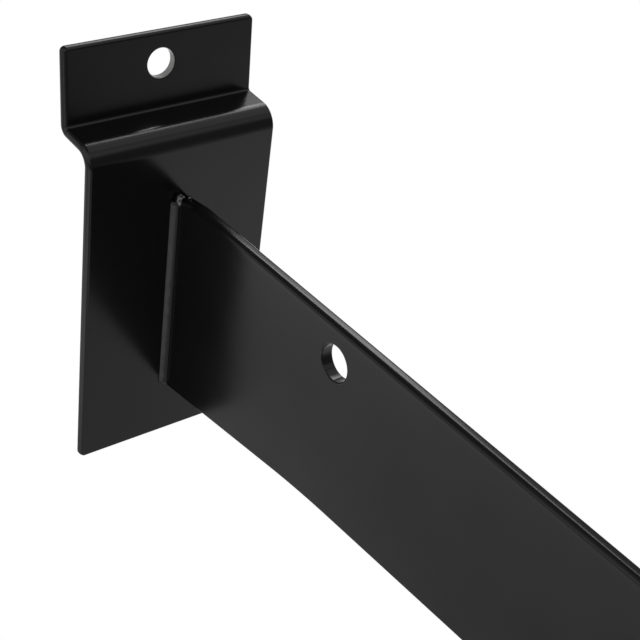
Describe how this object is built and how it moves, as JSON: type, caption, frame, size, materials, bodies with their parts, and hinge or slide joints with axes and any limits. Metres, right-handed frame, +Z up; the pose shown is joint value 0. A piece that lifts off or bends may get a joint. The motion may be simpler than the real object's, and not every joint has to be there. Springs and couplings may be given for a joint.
{
  "type": "slatwall shelf bracket",
  "caption": "Welded steel shelf bracket in black: a folded back plate whose tongue hooks into a slotted wall panel, and a tapered upright blade that carries the shelf.",
  "frame": {"origin": "on the wall face of the back plate, at mid-width, level with the top edge of the blade", "axes": "+X across the plate, +Y into the wall, +Z up; the blade runs towards -Y"},
  "size_m": [0.05, 0.3143, 0.1055],
  "materials": {
    "black_coat": "satin"
  },
  "bodies": {
    "root": {"back_plate": "black_coat", "blade": "black_coat", "weld_left": "black_coat", "weld_right": "black_coat", "tack_weld": "black_coat"}
  },
  "joints": []
}
